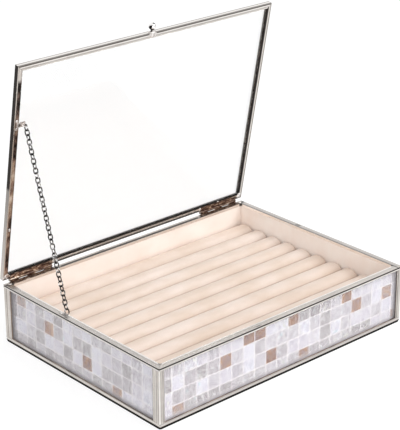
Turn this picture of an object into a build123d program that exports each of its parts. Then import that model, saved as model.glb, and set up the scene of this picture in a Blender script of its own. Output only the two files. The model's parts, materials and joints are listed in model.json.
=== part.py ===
from build123d import *
import os
from math import ceil, cos, radians, sin

# Glass jewelry box: nickel came frame, side glass over mother-of-pearl tiles, ten ring rolls,
# and a glass lid on two rear hinges, held by a chain. Millimetres, +Z up, front towards -Y.
# The origin is the centre of the case's footprint, on the surface that the box stands on.
# The lid stands open, as it rests on its chain.

# Case
case_length = 300.0
case_depth = 220.0
case_height = 58.0
pad_thickness = 1.5
pad_inset = 0.8
pad_corner = 2.0
came_wall = 0.6
groove_depth = 0.25
edge_bead = 0.8
top_face_drop = 3.2
top_inner_drop = 2.6
foot_face_rise = 3.6
post_front_leg = 5.2
post_side_leg = 9.0
post_ridge = 3.4
side_glass_thickness = 2.6
tile_thickness = 0.7
liner_thickness = 1.5
base_thickness = 3.0
board_thickness = 2.0
slip = 0.1
soft_clearance = 0.3

# Mosaic
tile_pitch = 13.7
tile_joint = 0.4
mosaic_drop = 1.3
long_side_first_cut = 13.05
short_side_first_cut = 11.9

# Ring rolls
roll_count = 10
roll_top_below_rim = 20.0
roll_draw = 0.8
roll_end_round = 2.0

# Hinges
lid_open_angle = 79.0
hinge_length = 48.0
hinge_inset = 8.0
knuckle_count = 5
knuckle_gap = 0.15
barrel_radius = 1.5
pin_radius = 0.75
pin_clearance = 0.04
pin_head_radius = 1.25
pin_head_length = 0.5
leaf_thickness = 0.45
leaf_reach = 6.6
leaf_gap = 0.1
hinge_setback = 1.2
notch_clearance = 0.3

# Lid
lid_setback = 2.0
lid_depth = 219.0
lid_wall = 0.7
lid_rail_width = 5.0
lid_glass_thickness = 3.0
lid_glass_slack = 0.1
lid_groove_start = 0.6
lid_groove_width = 0.8
knob_radius = 3.5
knob_neck_radius = 1.1
knob_neck_length = 1.4
solder_radius = 2.3
solder_height = 0.6

# Chain stay
link_wire = 1.1
link_width = 5.2
link_gap = 0.06
upper_link_count = 7
turn_link_count = 2
run_link_count = 25
bend_link_count = 2
curl_link_count = 2
end_link_count = 2
eye_reach = 163.5
eye_wire = 1.0
eye_width = 5.0
eye_height = 4.9
eye_tab_thickness = 0.5
eye_tab_length = 4.6
anchor_reach = 85.5
anchor_drop = 3.1
anchor_thickness = 0.5
anchor_size = 4.0
anchor_round = 1.2
chain_clearance = 0.3

# Worked out
rim = case_height
rail_width = 2 * came_wall + side_glass_thickness + tile_thickness + liner_thickness
sill = pad_thickness + came_wall
ceiling = rim - came_wall
base_top = sill + base_thickness
board_top = base_top + board_thickness
tile_depth = came_wall + side_glass_thickness
liner_depth = tile_depth + tile_thickness
inner_depth = liner_depth + liner_thickness
inner_length = case_length - 2 * inner_depth
inner_width = case_depth - 2 * inner_depth
hinge_y = case_depth / 2 + hinge_setback
hinge_z = rim + barrel_radius
case_leaf_top = barrel_radius - leaf_thickness
lid_face = case_leaf_top - leaf_gap - leaf_thickness
lid_thickness = lid_glass_thickness + 2 * lid_wall + lid_glass_slack
lid_front = lid_setback + lid_depth

os.makedirs("parts", exist_ok=True)


def keep(name, shape):
    """Label a finished piece and write it under its own name."""
    shape.label = name
    export_step(shape, f"parts/{name}.step")


# Side planes: X runs along the side, Y points inwards, Z points up, origin at the foot of the outer face.
sides = {
    "front": (Plane(origin=(0, -case_depth / 2, 0), x_dir=(1, 0, 0), z_dir=(0, 0, 1)), case_length),
    "rear": (Plane(origin=(0, case_depth / 2, 0), x_dir=(-1, 0, 0), z_dir=(0, 0, 1)), case_length),
    "left": (Plane(origin=(-case_length / 2, 0, 0), x_dir=(0, -1, 0), z_dir=(0, 0, 1)), case_depth),
    "right": (Plane(origin=(case_length / 2, 0, 0), x_dir=(0, 1, 0), z_dir=(0, 0, 1)), case_depth),
}


def mitred_rail(at, length, outline):
    """Came rail along a side: its section extruded, both ends cut at 45 degrees."""
    section = Plane(origin=at.origin, x_dir=at.y_dir, z_dir=at.x_dir)
    with BuildPart() as rail:
        with BuildSketch(section):
            with BuildLine():
                Polyline(*outline, close=True)
            make_face()
        extrude(amount=length / 2, both=True)
        for end in (-1, 1):
            corner = at.from_local_coords((end * length / 2, 0, 0))
            split(bisect_by=Plane(origin=corner, z_dir=at.x_dir * end + at.y_dir), keep=Keep.BOTTOM)
    return rail.part


def upright_sheet(at, length, depth, thickness, low, high):
    """Flat sheet standing along a side, its outer face at the given depth behind the came."""
    with BuildPart() as sheet:
        with BuildSketch(at.offset(low)):
            with Locations((0, depth + thickness / 2)):
                Rectangle(length, thickness)
        extrude(amount=high - low)
    return sheet.part


def mosaic_sheet(at, length, first_cut):
    """Square tiles on a regular grid behind a side glass, cut at the sheet's edges."""
    columns = ceil((length - first_cut) / tile_pitch) + 1
    top = ceiling - mosaic_drop
    rows = ceil((top - sill) / tile_pitch)
    left = first_cut - tile_pitch - length / 2
    grid_centre = (left + columns * tile_pitch / 2, top - rows * tile_pitch / 2)
    tile = tile_pitch - tile_joint
    back = at.from_local_coords((0, tile_depth, 0))
    with BuildPart() as sheet:
        with BuildSketch(Plane(origin=back, x_dir=at.x_dir, z_dir=-at.y_dir)):
            with Locations(grid_centre):
                with GridLocations(tile_pitch, tile_pitch, columns, rows):
                    Rectangle(tile, tile)
            with Locations((0, (sill + top) / 2)):
                Rectangle(length, top - sill, mode=Mode.INTERSECT)
        extrude(amount=-tile_thickness)
    return sheet.part


# Pad under the case: a thin black sheet that the box stands on.
with BuildPart() as pad:
    with BuildSketch():
        RectangleRounded(case_length - 2 * pad_inset, case_depth - 2 * pad_inset, pad_corner)
    extrude(amount=pad_thickness)
keep("base_pad", pad.part)

# Base panel: lies on the foot rails' lower flanges, inside the mosaic.
with BuildPart() as base:
    with BuildSketch(Plane.XY.offset(sill)):
        Rectangle(case_length - 2 * (liner_depth + slip), case_depth - 2 * (liner_depth + slip))
    extrude(amount=base_thickness)
keep("base_panel", base.part)

# Foot rails: a lower flange under the glass and a face with a bead along its top edge.
foot_outline = [
    (0, pad_thickness),
    (rail_width, pad_thickness),
    (rail_width, sill),
    (came_wall, sill),
    (came_wall, pad_thickness + foot_face_rise),
    (0, pad_thickness + foot_face_rise),
    (0, pad_thickness + foot_face_rise - edge_bead),
    (groove_depth, pad_thickness + foot_face_rise - edge_bead),
    (groove_depth, sill),
    (0, sill),
]
for side, (at, length) in sides.items():
    keep(f"foot_rail_{side}", mitred_rail(at, length, foot_outline))

# Top rails: a channel over the wall's edges, with a lip and a bead over the side face.
top_outline = [
    (0, rim),
    (rail_width, rim),
    (rail_width, rim - top_inner_drop),
    (rail_width - came_wall, rim - top_inner_drop),
    (rail_width - came_wall, ceiling),
    (came_wall, ceiling),
    (came_wall, rim - top_face_drop),
    (0, rim - top_face_drop),
    (0, rim - top_face_drop + 2 * edge_bead),
    (groove_depth, rim - top_face_drop + 2 * edge_bead),
    (groove_depth, ceiling),
    (0, ceiling),
]
for side, (at, length) in sides.items():
    keep(f"top_rail_{side}", mitred_rail(at, length, top_outline))

# Corner posts: angles between the foot and top rails, with a raised ridge along the corner. The leg on
# the short side is the wider one.
post_outline = [
    (0, 0),
    (post_ridge, 0),
    (post_ridge, groove_depth),
    (post_front_leg, groove_depth),
    (post_front_leg, came_wall),
    (came_wall, came_wall),
    (came_wall, post_side_leg),
    (groove_depth, post_side_leg),
    (groove_depth, post_ridge),
    (0, post_ridge),
]
post_foot = pad_thickness + foot_face_rise
post_top = rim - top_face_drop
corners = {"front_left": (-1, -1), "front_right": (1, -1), "rear_left": (-1, 1), "rear_right": (1, 1)}
for corner, (sx, sy) in corners.items():
    points = [(sx * (case_length / 2 - a), sy * (case_depth / 2 - b)) for a, b in post_outline]
    with BuildPart() as post:
        with BuildSketch(Plane.XY.offset(post_foot)):
            with BuildLine():
                Polyline(*points, close=True)
            make_face()
        extrude(amount=post_top - post_foot)
    keep(f"corner_post_{corner}", post.part)

# Side glasses, mosaics and liners: three layers in each wall. The front and rear sheets run the whole
# length, and the left and right ones fit between them.
for side, (at, length) in sides.items():
    full = side in ("front", "rear")
    glass_end = came_wall if full else tile_depth
    tile_end = tile_depth if full else liner_depth
    liner_end = liner_depth if full else inner_depth
    first_cut = long_side_first_cut if full else short_side_first_cut
    glass = upright_sheet(at, length - 2 * glass_end, came_wall, side_glass_thickness, sill, ceiling)
    keep(f"side_glass_{side}", glass)
    keep(f"mosaic_{side}", mosaic_sheet(at, length - 2 * tile_end, first_cut))
    liner = upright_sheet(at, length - 2 * liner_end, liner_depth, liner_thickness, base_top, ceiling)
    keep(f"liner_{side}", liner)

# Insert board: carries the ring rolls.
with BuildPart() as board:
    with BuildSketch(Plane.XY.offset(base_top)):
        Rectangle(inner_length - 2 * slip, inner_width - 2 * slip)
    extrude(amount=board_thickness)
keep("insert_board", board.part)

# Ring rolls: foam bars under velvet, side by side from front to rear, crowned and drawn in at the foot.
roll_pitch = inner_width / roll_count
roll_half = (roll_pitch - soft_clearance) / 2
roll_length = inner_length - 2 * soft_clearance
roll_top = rim - roll_top_below_rim
for number in range(roll_count):
    y = -inner_width / 2 + (number + 0.5) * roll_pitch
    with BuildPart() as roll:
        with BuildSketch(Plane(origin=(-roll_length / 2, y, 0), x_dir=(0, 1, 0), z_dir=(1, 0, 0))):
            with BuildLine():
                Line((-roll_half, roll_top - roll_half), (-roll_half + roll_draw, board_top))
                Line((-roll_half + roll_draw, board_top), (roll_half - roll_draw, board_top))
                Line((roll_half - roll_draw, board_top), (roll_half, roll_top - roll_half))
                ThreePointArc((roll_half, roll_top - roll_half), (0, roll_top), (-roll_half, roll_top - roll_half))
            make_face()
        extrude(amount=roll_length)
        ends = roll.faces().filter_by(Axis.X).edges()
        fillet(ends.filter_by(lambda edge: edge.center().Z > board_top + roll_draw), radius=roll_end_round)
    keep(f"ring_roll_{number + 1:02d}", roll.part)

# Hinge planes. A section plane has its origin on the hinge axis, X towards the front edge and Y towards
# the inside of the box. The case's is level, and the lid's is turned up with the open lid.
lean = radians(lid_open_angle)
lid_forward = Vector(0, -cos(lean), sin(lean))
lid_inward = Vector(0, -sin(lean), -cos(lean))


def case_section(x):
    return Plane(origin=(x, hinge_y, hinge_z), x_dir=(0, -1, 0), z_dir=(1, 0, 0))


def lid_section(x):
    return Plane(origin=(x, hinge_y, hinge_z), x_dir=lid_forward, z_dir=(1, 0, 0))


def hinge_leaf(section, top, knuckles):
    """Plate with the given knuckles rolled on it, bored for the pin. section is at the leaf's left end."""
    knuckle_pitch = hinge_length / knuckle_count
    notch = barrel_radius + notch_clearance
    with BuildPart() as leaf:
        with BuildSketch(section):
            with Locations(((notch + leaf_reach) / 2, top + leaf_thickness / 2)):
                Rectangle(leaf_reach - notch, leaf_thickness)
        extrude(amount=hinge_length)
        for knuckle in knuckles:
            with BuildSketch(section.offset(knuckle * knuckle_pitch + knuckle_gap / 2)):
                with Locations((notch / 2, top + leaf_thickness / 2)):
                    Rectangle(notch, leaf_thickness)
                Circle(barrel_radius)
            extrude(amount=knuckle_pitch - knuckle_gap)
        with BuildSketch(section):
            Circle(pin_radius + pin_clearance)
        extrude(amount=hinge_length, mode=Mode.SUBTRACT)
    return leaf.part


hinge_ends = {
    "left": hinge_inset - case_length / 2,
    "right": case_length / 2 - hinge_inset - hinge_length,
}
for hand, start in hinge_ends.items():
    keep(f"hinge_case_leaf_{hand}", hinge_leaf(case_section(start), case_leaf_top, (0, 2, 4)))
    keep(f"hinge_lid_leaf_{hand}", hinge_leaf(lid_section(start), lid_face, (1, 3)))
    with BuildPart() as pin:
        with BuildSketch(case_section(start)):
            Circle(pin_radius)
        extrude(amount=hinge_length)
        with BuildSketch(case_section(start - pin_head_length), case_section(start + hinge_length)):
            Circle(pin_head_radius)
        extrude(amount=pin_head_length)
    keep(f"hinge_pin_{hand}", pin.part)


def on_lid(x, forward, inward):
    """Point of the open lid: across, from the hinge axis towards the front edge, and inwards."""
    return Vector(x, hinge_y, hinge_z) + lid_forward * forward + lid_inward * inward


# Lid rails: channels around the pane, with a fine groove along both faces.
groove_end = lid_groove_start + lid_groove_width
lid_outline = [
    (0, 0),
    (lid_groove_start, 0),
    (lid_groove_start, groove_depth),
    (groove_end, groove_depth),
    (groove_end, 0),
    (lid_rail_width, 0),
    (lid_rail_width, lid_wall),
    (lid_wall, lid_wall),
    (lid_wall, lid_thickness - lid_wall),
    (lid_rail_width, lid_thickness - lid_wall),
    (lid_rail_width, lid_thickness),
    (groove_end, lid_thickness),
    (groove_end, lid_thickness - groove_depth),
    (lid_groove_start, lid_thickness - groove_depth),
    (lid_groove_start, lid_thickness),
    (0, lid_thickness),
]
lid_middle = lid_setback + lid_depth / 2
across = Vector(1, 0, 0)
lid_sides = {
    "front": (on_lid(0, lid_front, lid_face), across, case_length),
    "rear": (on_lid(0, lid_setback, lid_face), -across, case_length),
    "left": (on_lid(-case_length / 2, lid_middle, lid_face), lid_forward, lid_depth),
    "right": (on_lid(case_length / 2, lid_middle, lid_face), -lid_forward, lid_depth),
}
for side, (origin, along, length) in lid_sides.items():
    at = Plane(origin=origin, x_dir=along, z_dir=-lid_inward)
    keep(f"lid_rail_{side}", mitred_rail(at, length, lid_outline))

# Lid glass: clear pane held in the rails' channels.
glass_edge = lid_wall + slip
glass_face = lid_face - lid_wall - lid_glass_slack / 2
with BuildPart() as lid_glass:
    with BuildSketch(Plane(origin=on_lid(0, lid_middle, glass_face), x_dir=across, z_dir=lid_inward)):
        Rectangle(case_length - 2 * glass_edge, lid_depth - 2 * glass_edge)
    extrude(amount=-lid_glass_thickness)
keep("lid_glass", lid_glass.part)

# Knob: a ball on a short neck, soldered to the middle of the front rail's edge.
knob_at = on_lid(0, lid_front, lid_face - lid_thickness / 2)
knob_top = solder_height + knob_neck_length + 2 * knob_radius
knob_neck_meets = (knob_radius**2 - knob_neck_radius**2) ** 0.5
knob_centre = knob_top - knob_radius
with BuildPart() as knob:
    with BuildSketch(Plane(origin=knob_at, x_dir=across, z_dir=across.cross(lid_forward))) as knob_sketch:
        with BuildLine():
            Polyline(
                (0, 0),
                (solder_radius, 0),
                (knob_neck_radius, solder_height),
                (knob_neck_radius, knob_centre - knob_neck_meets),
            )
            ThreePointArc(
                (knob_neck_radius, knob_centre - knob_neck_meets),
                (knob_radius, knob_centre),
                (0, knob_top),
            )
            Line((0, knob_top), (0, 0))
        make_face()
    revolve(axis=Axis(knob_at, lid_forward))
keep("lid_knob", knob.part)

# Chain line: from the lid eye's bar down to the anchor on the left top rail. It hangs just inside the
# rail, so the closed lid folds it into the case.
chain_x = -case_length / 2 + rail_width + anchor_thickness + chain_clearance + link_width / 2
eye_bar = on_lid(chain_x, eye_reach, lid_face + eye_height - eye_wire / 2)
anchor_point = Vector(chain_x, hinge_y - anchor_reach, rim - anchor_drop)
chain_span = (anchor_point - eye_bar).length
down = (anchor_point - eye_bar).normalized()
link_groups = {
    "upper": upper_link_count,
    "turn": turn_link_count,
    "run": run_link_count,
    "bend": bend_link_count,
    "curl": curl_link_count,
    "end": end_link_count,
}
link_total = sum(link_groups.values())
link_radius = link_wire / 2
link_step_loss = 2 * link_wire + link_gap
first_offset = eye_wire / 2 + link_gap
link_length = (chain_span + 3 * link_radius + first_offset + (link_total - 1) * link_step_loss) / link_total
link_pitch = link_length - link_step_loss
link_reach = link_length / 2 - link_radius


def oval_wire(plane, length, width, wire):
    """Closed ring of round wire, straight along its sides and half round at its ends."""
    half_run = (length - width) / 2
    bend = (width - wire) / 2
    with BuildPart() as ring:
        with BuildLine(plane) as path:
            top = Line((-half_run, bend), (half_run, bend))
            ThreePointArc((half_run, bend), (half_run + bend, 0), (half_run, -bend))
            Line((half_run, -bend), (-half_run, -bend))
            ThreePointArc((-half_run, -bend), (-half_run - bend, 0), (-half_run, bend))
        with BuildSketch(Plane(origin=top @ 0.5, z_dir=top % 0.5)):
            Circle(wire / 2)
        sweep(path=path.line)
    return ring.part


# Chain links: alternate links stand in the chain's plane and across it. They are grouped into the six
# lengths that the fold turns apart.
plain_link = oval_wire(Plane.XY, link_length, link_width, link_wire)
first_centre = link_reach - link_radius - first_offset
index = 0
for group, count in link_groups.items():
    places = []
    for number in range(index, index + count):
        centre = eye_bar + down * (first_centre + number * link_pitch)
        facing = across if number % 2 == 0 else across.cross(down)
        places.append(Location(Plane(origin=centre, x_dir=down, z_dir=facing)))
    with BuildPart() as links:
        with Locations(*places):
            add(plain_link)
    keep(f"chain_links_{group}", links.part)
    end_bar = first_centre + (index - 1) * link_pitch + link_reach
    start_bar = first_centre + index * link_pitch - link_reach
    pivot = eye_bar + down * (start_bar if index % 2 else end_bar)
    if index == 0:
        pivot = eye_bar
    print(f"chain_links_{group} turns about y {pivot.Y:.4f} z {pivot.Z:.4f}")
    index += count

# Lid eye: an oval ring standing on a tab that is soldered to the left lid rail.
tab_inner = chain_x + eye_width / 2
tab_outer = -case_length / 2 + lid_rail_width / 2
ring_foot = eye_height - eye_wire / 2
with BuildPart() as eye:
    with BuildSketch(
        Plane(origin=on_lid((tab_inner + tab_outer) / 2, eye_reach, lid_face), x_dir=across, z_dir=lid_inward)
    ):
        RectangleRounded(tab_inner - tab_outer, eye_tab_length, anchor_round)
    extrude(amount=eye_tab_thickness)
    ring_length = eye_height - eye_tab_thickness / 2
    ring_centre = on_lid(chain_x, eye_reach, lid_face + eye_height - ring_length / 2)
    ring_plane = Plane(origin=ring_centre, x_dir=across, z_dir=lid_forward)
    add(oval_wire(ring_plane, eye_width, ring_length, eye_wire))
keep("chain_eye", eye.part)

# Anchor: a soldered tab on the inner face of the left top rail, beside the chain's last link.
anchor_face = -case_length / 2 + rail_width
with BuildPart() as anchor:
    with BuildSketch(
        Plane(origin=(anchor_face, anchor_point.Y, rim - top_inner_drop / 2), x_dir=(0, 1, 0), z_dir=(1, 0, 0))
    ):
        RectangleRounded(anchor_size, top_inner_drop, anchor_round)
    extrude(amount=anchor_thickness)
keep("chain_anchor", anchor.part)
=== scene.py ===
import json
from functools import reduce
from math import ceil, cos, pi, radians, sin, sqrt

import bmesh
import bpy
from mathutils import Matrix, Vector, noise


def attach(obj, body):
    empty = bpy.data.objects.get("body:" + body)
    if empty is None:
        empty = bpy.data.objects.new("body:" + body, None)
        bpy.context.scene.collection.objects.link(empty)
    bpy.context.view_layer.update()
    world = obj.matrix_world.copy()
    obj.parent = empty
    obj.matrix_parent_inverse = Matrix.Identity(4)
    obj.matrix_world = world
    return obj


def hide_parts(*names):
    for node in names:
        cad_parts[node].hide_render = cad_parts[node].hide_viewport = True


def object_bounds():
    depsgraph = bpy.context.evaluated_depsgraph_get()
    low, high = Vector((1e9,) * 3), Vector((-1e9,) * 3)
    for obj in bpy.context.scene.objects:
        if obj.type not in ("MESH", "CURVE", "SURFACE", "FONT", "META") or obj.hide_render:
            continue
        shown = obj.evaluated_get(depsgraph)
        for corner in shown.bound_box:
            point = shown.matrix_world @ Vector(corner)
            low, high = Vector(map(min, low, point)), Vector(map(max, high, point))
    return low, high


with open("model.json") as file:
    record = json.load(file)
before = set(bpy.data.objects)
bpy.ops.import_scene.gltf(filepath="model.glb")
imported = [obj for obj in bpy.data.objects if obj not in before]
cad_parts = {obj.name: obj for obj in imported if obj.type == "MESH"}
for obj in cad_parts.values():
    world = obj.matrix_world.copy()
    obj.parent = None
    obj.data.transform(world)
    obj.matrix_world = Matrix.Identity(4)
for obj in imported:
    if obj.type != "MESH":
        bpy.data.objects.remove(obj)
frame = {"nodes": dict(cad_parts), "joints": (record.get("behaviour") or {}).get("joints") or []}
cad_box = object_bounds()
scene = bpy.context.scene

# Room: a plain pale floor and a white surround, a large soft lamp over the right shoulder and a low one
# before the corner. The camera stands off the front left corner and looks down into the open box.
FLOOR_REACH = 9.0
FLOOR_SHADE = (0.30, 0.30, 0.30, 1.0)
FLOOR_GLOW = 0.78
SURROUND_FILL = 0.74
LAMPS = {
    "key_lamp": ((0.9, -1.1, 1.6), 1.2, 16.0),
    "low_lamp": ((-0.85, -1.3, 0.45), 1.2, 8.0),
}
LAMP_AIM = (0.0, 0.0, 0.05)
CAMERA_TARGET = Vector((-0.03168, -0.02921, 0.13666))
CAMERA_DISTANCE = 1.40016
CAMERA_AZIMUTH = radians(-41.820)
CAMERA_ELEVATION = radians(22.866)
CAMERA_ROLL = radians(-0.278)
CAMERA_LENS = 132.47


def step(tree, kind, feeds=None, **settings):
    """One node of a tree: its settings, then what feeds each input, a value or another node's socket."""
    made = tree.nodes.new(kind)
    for name, value in settings.items():
        setattr(made, name, value)
    for key, value in (feeds or {}).items():
        if isinstance(value, bpy.types.NodeSocket):
            tree.links.new(value, made.inputs[key])
        else:
            made.inputs[key].default_value = value
    return made


def sum_of(tree, operation, *terms):
    """Result of one Math node on the given terms."""
    return step(tree, "ShaderNodeMath", dict(enumerate(terms)), operation=operation).outputs[0]


def most(tree, *values):
    """Largest of several values."""
    return reduce(lambda best, value: sum_of(tree, "MAXIMUM", best, value), values)


def empty_finish(name):
    """New material with only its output node: its tree and that output."""
    made = bpy.data.materials.new(name)
    made.use_nodes = True
    made.node_tree.nodes.clear()
    return made, made.node_tree, step(made.node_tree, "ShaderNodeOutputMaterial")


def seen_directly(tree):
    """1 for rays from the camera, from mirrors and through glass, which all meet the pale surround."""
    path = step(tree, "ShaderNodeLightPath").outputs
    return most(tree, path["Is Camera Ray"], path["Is Glossy Ray"], path["Is Transmission Ray"])


floor_finish, tree, out = empty_finish("pale_floor")
matt = step(tree, "ShaderNodeBsdfDiffuse", {"Color": FLOOR_SHADE})
glow = sum_of(tree, "MULTIPLY", seen_directly(tree), FLOOR_GLOW)
lift = step(tree, "ShaderNodeEmission", {"Strength": glow})
both = step(tree, "ShaderNodeAddShader", {0: matt.outputs[0], 1: lift.outputs[0]})
tree.links.new(both.outputs[0], out.inputs["Surface"])

floor_mesh = bpy.data.meshes.new("floor")
quarters = ((-1, -1), (1, -1), (1, 1), (-1, 1))
corners = [(x * FLOOR_REACH, y * FLOOR_REACH, cad_box[0][2]) for x, y in quarters]
floor_mesh.from_pydata(corners, [], [(0, 1, 2, 3)])
floor_mesh.materials.append(floor_finish)
floor = bpy.data.objects.new("floor", floor_mesh)
scene.collection.objects.link(floor)

surround = bpy.data.worlds.new("surround")
scene.world = surround
surround.use_nodes = True
tree = surround.node_tree
tree.nodes.clear()
fill = step(tree, "ShaderNodeBackground", {"Color": (1.0, 1.0, 1.0, 1.0), "Strength": SURROUND_FILL})
white = step(tree, "ShaderNodeBackground", {"Color": (1.0, 1.0, 1.0, 1.0)})
choice = step(tree, "ShaderNodeMixShader", {0: seen_directly(tree), 1: fill.outputs[0], 2: white.outputs[0]})
step(tree, "ShaderNodeOutputWorld", {"Surface": choice.outputs[0]})

for name, (place, size, power) in LAMPS.items():
    lamp = bpy.data.lights.new(name, "AREA")
    lamp.shape = "SQUARE"
    lamp.size = size
    lamp.energy = power
    stand = bpy.data.objects.new(name, lamp)
    scene.collection.objects.link(stand)
    stand.location = place
    stand.rotation_euler = (Vector(LAMP_AIM) - Vector(place)).to_track_quat("-Z", "Y").to_euler()

camera_data = bpy.data.cameras.new("camera")
camera_data.lens = CAMERA_LENS
camera_data.sensor_width = 36.0
camera_data.clip_end = 50.0
camera = bpy.data.objects.new("camera", camera_data)
scene.collection.objects.link(camera)
flat = cos(CAMERA_ELEVATION)
back = Vector((sin(CAMERA_AZIMUTH) * flat, -cos(CAMERA_AZIMUTH) * flat, sin(CAMERA_ELEVATION)))
level = Vector((0.0, 0.0, 1.0)).cross(back).normalized()
upright = back.cross(level)
right = level * cos(CAMERA_ROLL) + upright * sin(CAMERA_ROLL)
up = upright * cos(CAMERA_ROLL) - level * sin(CAMERA_ROLL)
turn = Matrix((right, up, back)).transposed().to_4x4()
camera.matrix_world = Matrix.Translation(CAMERA_TARGET + back * CAMERA_DISTANCE) @ turn
scene.camera = camera
scene.view_settings.view_transform = "Standard"


# Pad and inner boards: a thin black velvet pad is glued under the case. The base panel, held by the foot
# rails, and the insert board that carries the ring rolls are grey fibre card.
PAD_CORNER = 0.002
PAD_EDGE = 0.0002
PAD_TURN_STEPS = 6


def box_of(name):
    """Lowest and highest corner of a carried-over node of the case."""
    held = frame["nodes"][name]
    corners = [held.matrix_world @ Vector(corner) for corner in held.bound_box]
    return [Vector([pick(corner[i] for corner in corners) for i in range(3)]) for pick in (min, max)]


def linear(red, green, blue):
    """Colour as the shaders take it, from how it looks on a screen, 0 to 255."""
    shades = [c / 255 for c in (red, green, blue)]
    return tuple(c / 12.92 if c <= 0.04045 else ((c + 0.055) / 1.055) ** 2.4 for c in shades) + (1.0,)


def own_place(tree):
    """Object coordinates."""
    return step(tree, "ShaderNodeTexCoord").outputs["Object"]


def place_of(tree, stretch=(1.0, 1.0, 1.0), shift=(0.0, 0.0, 0.0)):
    """Object coordinates, moved and stretched for a pattern."""
    feeds = {"Vector": own_place(tree), "Location": shift, "Scale": stretch}
    return step(tree, "ShaderNodeMapping", feeds).outputs[0]


def grain(tree, where, scale, detail=3.0, rough=0.5, twist=0.0):
    """Noise from 0 to 1, so many to the metre."""
    feeds = {"Vector": where, "Scale": scale, "Detail": detail, "Roughness": rough, "Distortion": twist}
    return step(tree, "ShaderNodeTexNoise", feeds).outputs["Fac"]


def spread(tree, value, low, high, to_low, to_high):
    """A value taken from one range to another, held at its ends."""
    return step(tree, "ShaderNodeMapRange", {0: value, 1: low, 2: high, 3: to_low, 4: to_high}).outputs[0]


def blended(tree, share, first, second):
    """Colour between two, by share."""
    return step(tree, "ShaderNodeMix", {0: share, 6: first, 7: second}, data_type="RGBA").outputs[2]


def raised(tree, height, depth, strength=1.0, onto=None):
    """Normal for a relief of that depth in metres."""
    feeds = {"Height": height, "Distance": depth, "Strength": strength}
    if onto is not None:
        feeds["Normal"] = onto
    return step(tree, "ShaderNodeBump", feeds).outputs[0]


def skin(tree, out, **feeds):
    """Principled shader on a material's output; the names are its inputs with _ for a space."""
    made = step(tree, "ShaderNodeBsdfPrincipled", {k.replace("_", " "): v for k, v in feeds.items()})
    tree.links.new(made.outputs[0], out.inputs["Surface"])
    return made


def dress(finish, *names):
    """Give carried-over nodes their material."""
    for name in names:
        part = frame["nodes"][name]
        if not part.material_slots:
            part.data.materials.append(finish)
        for held in part.material_slots:
            held.material = finish


def piece_from(name, shape, finish):
    """Turn a bmesh into a piece with outward faces and a material."""
    bmesh.ops.recalc_face_normals(shape, faces=shape.faces)
    mesh = bpy.data.meshes.new(name)
    shape.to_mesh(mesh)
    shape.free()
    mesh.materials.append(finish)
    made = bpy.data.objects.new(name, mesh)
    scene.collection.objects.link(made)
    return made


def smooth_turns(piece, angle=40.0):
    """Shade a piece smoothly over its shallow edges and keep the others crisp."""
    piece.data.shade_smooth()
    piece.data.set_sharp_from_angle(angle=radians(angle))
    return piece


def skin_over(shape, loops):
    """Join a row of closed loops of points with faces, and close both ends."""
    for first, second in zip(loops, loops[1:]):
        for i in range(len(first)):
            j = (i + 1) % len(first)
            shape.faces.new((first[i], first[j], second[j], second[i]))
    shape.faces.new(list(reversed(loops[0])))
    shape.faces.new(loops[-1])


def rounded_outline(half_x, half_y, radius, steps):
    """Points of a rectangle with round corners."""
    points = []
    for corner, (sx, sy) in enumerate(((1, 1), (-1, 1), (-1, -1), (1, -1))):
        for i in range(steps + 1):
            a = pi / 2 * (corner + i / steps)
            across = sx * (half_x - radius) + radius * cos(a)
            points.append((across, sy * (half_y - radius) + radius * sin(a)))
    return points


LEFT_RIM = box_of("top_rail_left")
CASE_LENGTH = -2 * LEFT_RIM[0].x
CASE_DEPTH = LEFT_RIM[1].y - LEFT_RIM[0].y
PAD_THICKNESS = box_of("base_pad")[1].z

black_velvet, tree, out = empty_finish("black_velvet")
nap = grain(tree, place_of(tree), 900.0)
tufts = grain(tree, place_of(tree), 5200.0, 2.0)
skin(
    tree,
    out,
    Base_Color=blended(tree, nap, linear(6, 6, 7), linear(20, 19, 21)),
    Roughness=spread(tree, nap, 0.3, 0.7, 0.85, 0.98),
    Specular_IOR_Level=0.05,
    Normal=raised(tree, tufts, 0.0002, 0.6),
)

pad = bmesh.new()
rings = []
for height, inset in (
    (0.0, PAD_EDGE),
    (PAD_EDGE / 3, PAD_EDGE / 3),
    (PAD_EDGE, 0.0),
    (PAD_THICKNESS - PAD_EDGE, 0.0),
    (PAD_THICKNESS - PAD_EDGE / 3, PAD_EDGE / 3),
    (PAD_THICKNESS, PAD_EDGE),
):
    half_x, half_y = (size / 2 - inset for size in (CASE_LENGTH, CASE_DEPTH))
    outline = rounded_outline(half_x, half_y, PAD_CORNER - inset, PAD_TURN_STEPS)
    rings.append([pad.verts.new((x, y, height)) for x, y in outline])
skin_over(pad, rings)
felt_pad = smooth_turns(piece_from("velvet_pad", pad, black_velvet))
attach(felt_pad, "case")
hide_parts("base_pad")

card, tree, out = empty_finish("grey_card")
fibres = grain(tree, place_of(tree, (1.0, 6.0, 1.0)), 700.0)
flecks = grain(tree, place_of(tree), 2600.0, 2.0)
shade = blended(tree, fibres, linear(170, 160, 148), linear(196, 188, 176))
skin(
    tree,
    out,
    Base_Color=blended(tree, spread(tree, flecks, 0.62, 0.7, 0.0, 0.6), shade, linear(120, 108, 96)),
    Roughness=spread(tree, fibres, 0.3, 0.7, 0.8, 0.95),
    Normal=raised(tree, fibres, 0.0001, 0.5),
)
dress(card, "base_panel", "insert_board")


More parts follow.
